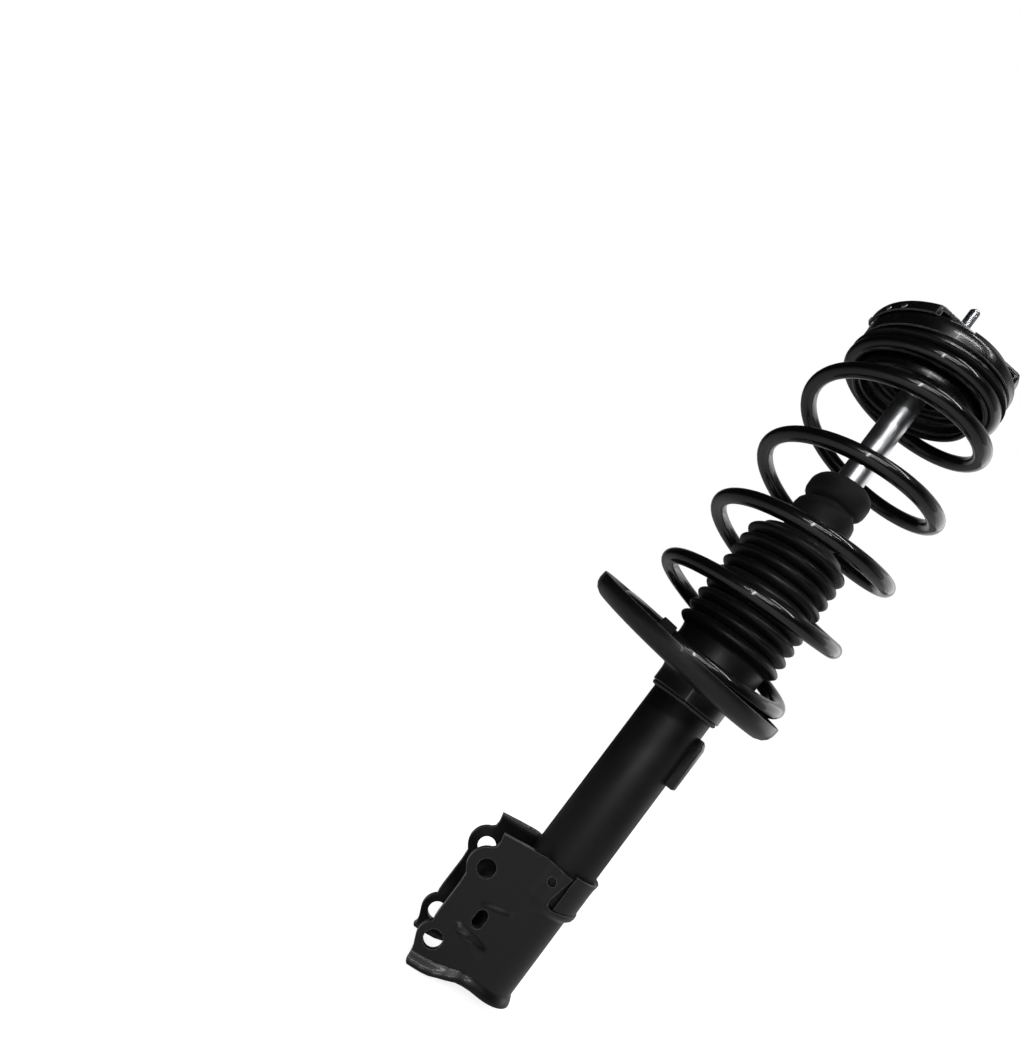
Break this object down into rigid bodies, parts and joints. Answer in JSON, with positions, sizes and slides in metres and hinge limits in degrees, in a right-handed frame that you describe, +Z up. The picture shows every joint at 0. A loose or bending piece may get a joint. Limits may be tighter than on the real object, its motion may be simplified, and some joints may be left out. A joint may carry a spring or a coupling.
{
  "type": "strut assembly",
  "caption": "MacPherson strut with coil spring, dust boot, bump stop, tilted spring seat, two-ear knuckle bracket and a three-lobed top mount with studs.",
  "frame": {"origin": "centre of the stud circle, on the top face of the three-lobed mount plate, on the strut's axis", "axes": "+Z up along the strut's axis, the way the studs point; +Y along the knuckle bolts; -X the way the bracket's ears point"},
  "size_m": [0.1844, 0.1735, 0.6354],
  "materials": {
    "black_paint": "satin",
    "weld_paint": "satin",
    "spring_enamel": "gloss",
    "zinc": "satin",
    "seat_plastic": "matte",
    "rubber": "matte",
    "foam": "matte",
    "hard_chrome": "polished",
    "bare_steel": "satin",
    "sintered_iron": "matte",
    "band_plastic": "matte"
  },
  "bodies": {
    "mount": {"mount_plate": "black_paint", "mount_studs": "zinc", "mount_housing": "black_paint", "plate_rivets": "zinc", "mount_rubber": "rubber", "inner_sleeve": "bare_steel", "rod_washer": "zinc", "rod_nut": "zinc", "striker_cup": "bare_steel", "bearing_upper_race": "bare_steel", "piston_rod": "hard_chrome", "rebound_stop": "bare_steel", "piston": "sintered_iron", "piston_band": "band_plastic", "valve_discs": "bare_steel", "piston_nut": "bare_steel"},
    "spring_seat": {"bearing_balls": "bare_steel", "bearing_lower_race": "bare_steel", "upper_spring_seat": "seat_plastic", "upper_spring_pad": "rubber", "coil_spring": "spring_enamel"},
    "strut": {"strut_tube": "black_paint", "tube_end_cap": "black_paint", "pressure_cylinder": "bare_steel", "base_valve": "sintered_iron", "rod_guide": "sintered_iron", "rod_seal": "rubber", "tube_cap": "black_paint", "dust_boot": "rubber", "bump_stop": "foam", "lower_spring_seat": "black_paint", "lower_spring_pad": "rubber", "seat_weld": "weld_paint", "knuckle_bracket": "black_paint", "bracket_strap": "black_paint", "bracket_collar": "black_paint", "bracket_welds": "weld_paint", "hose_tab": "black_paint"}
  },
  "joints": [
    {"name": "steer", "type": "hinge", "parent": "mount", "child": "spring_seat", "pos_m": [0, 0, -0.0236], "axis": [0, 0, 1], "range_deg": [-40, 40]},
    {"name": "stroke", "type": "slide", "parent": "spring_seat", "child": "strut", "axis": [0, 0, 1], "range_m": [0, 0.09], "stiffness_N_per_m": 25000, "springref_m": -0.06, "deforming": ["coil_spring"]}
  ]
}
